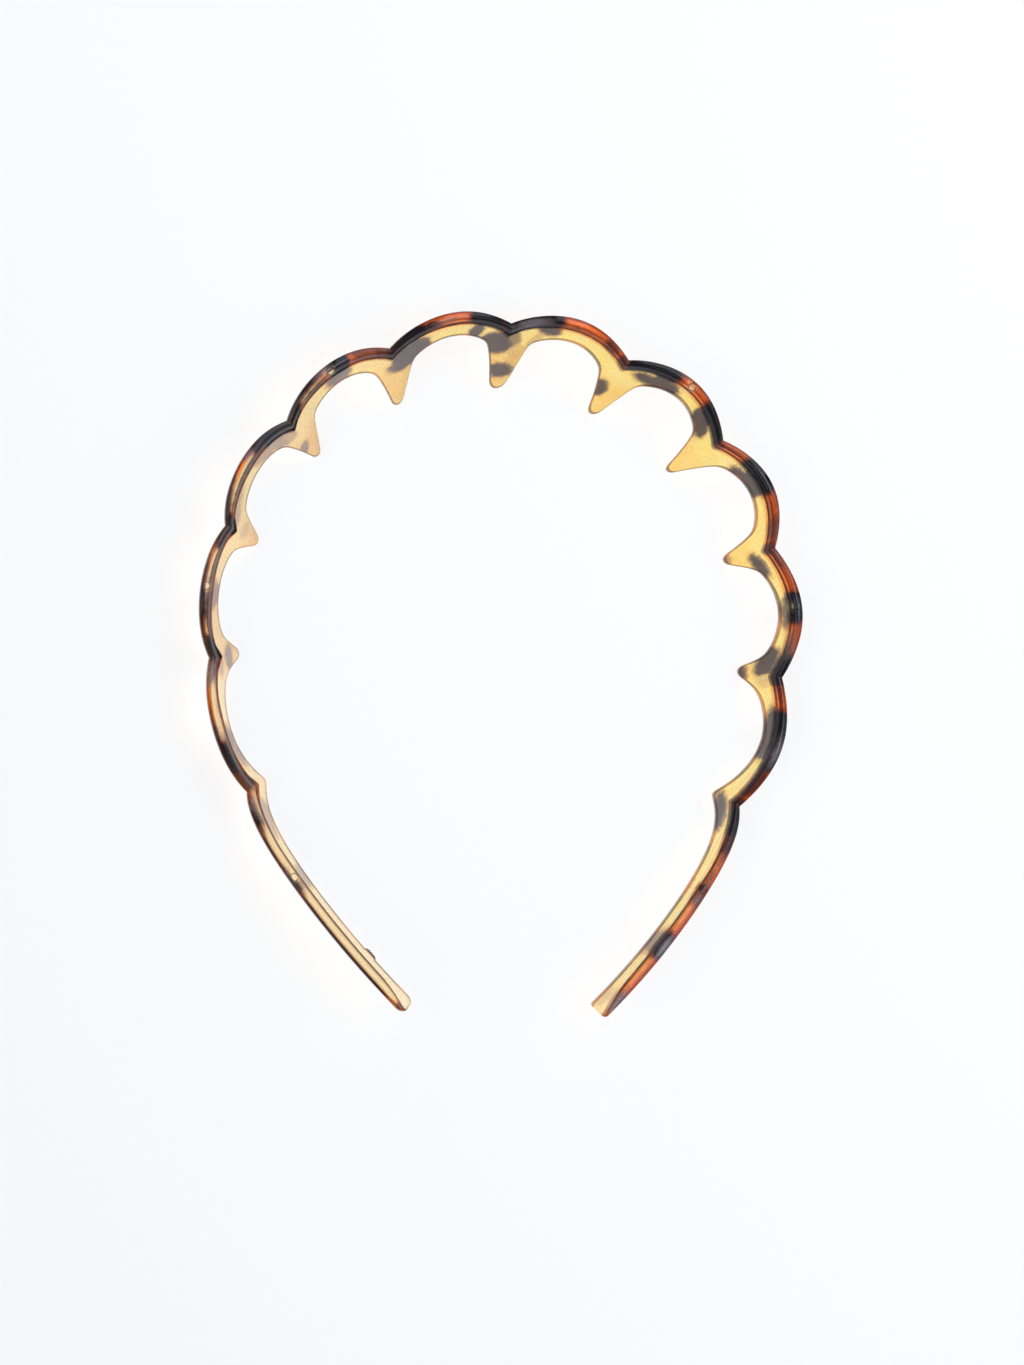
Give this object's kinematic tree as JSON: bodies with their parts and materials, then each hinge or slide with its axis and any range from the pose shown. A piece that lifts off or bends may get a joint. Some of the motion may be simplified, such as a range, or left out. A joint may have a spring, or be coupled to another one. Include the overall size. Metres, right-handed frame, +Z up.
{
  "type": "zigzag headband",
  "caption": "One-piece scalloped headband with a rounded rim, a thin inner web, comb teeth pointing inwards at the notches and two smooth legs, lying on its side.",
  "frame": {"origin": "on the table under the middle of the hoop's bounding box", "axes": "+X to the hoop's right seen from above, +Y from the leg ends towards the top of the hoop, +Z up from the table it lies on"},
  "size_m": [0.1264, 0.1414, 0.0164],
  "materials": {
    "shell": "tortoiseshell: translucent amber with brown-black patches, glossy rim and finely frosted web"
  },
  "bodies": {
    "root": {"headband": "shell"}
  },
  "joints": []
}
